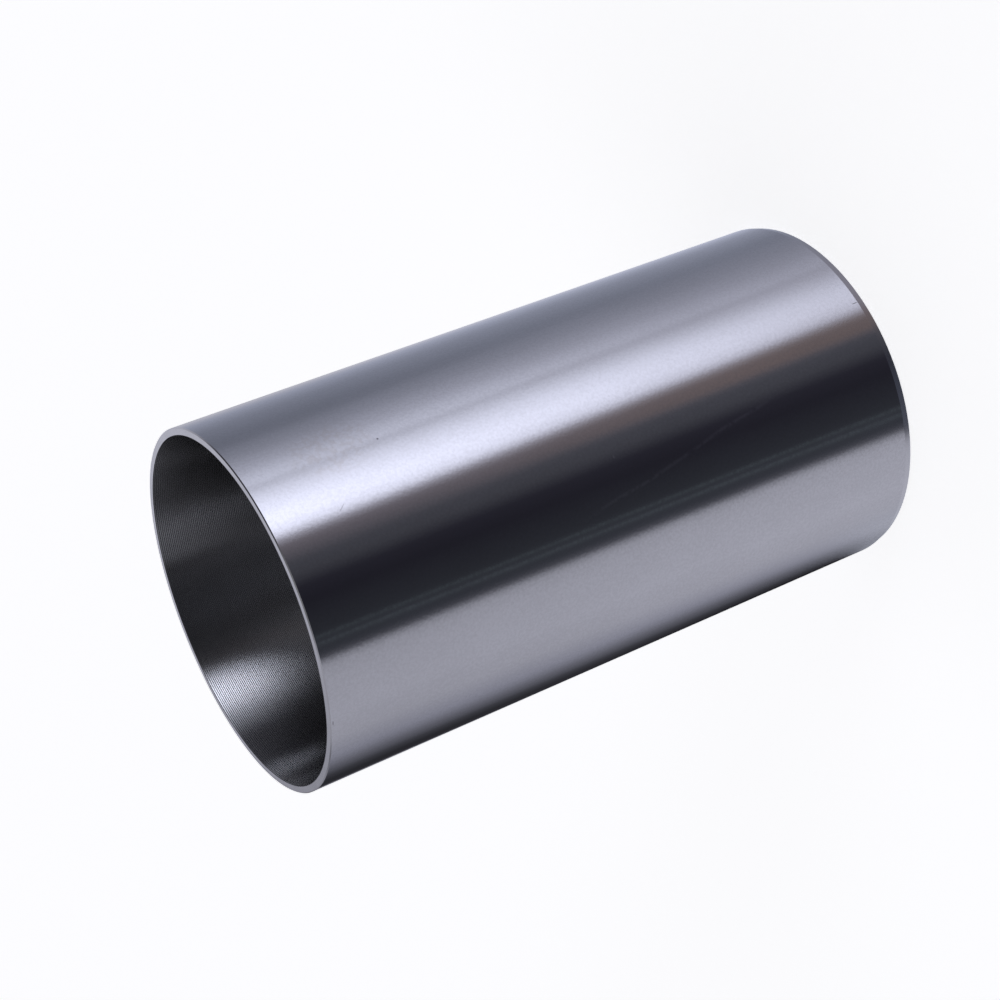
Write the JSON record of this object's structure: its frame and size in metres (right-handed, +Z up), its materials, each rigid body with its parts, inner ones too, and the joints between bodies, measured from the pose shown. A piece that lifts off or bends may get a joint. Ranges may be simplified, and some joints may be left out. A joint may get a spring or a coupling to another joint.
{
  "type": "cylinder liner",
  "caption": "Plain thin-walled dry cylinder liner without a flange, ground outside and bored inside, with a lead-in taper at its bottom end.",
  "frame": {"origin": "centre of the bottom face, on the bore axis", "axes": "+Z up the bore axis from the lead-in end to the deck end; X and Y are equal, because the liner is round"},
  "size_m": [0.0926, 0.0926, 0.17],
  "materials": {
    "grey_iron": "ground bright outside, turned on the ends, bored inside"
  },
  "bodies": {
    "root": {"cylinder_liner": "grey_iron"}
  },
  "joints": []
}
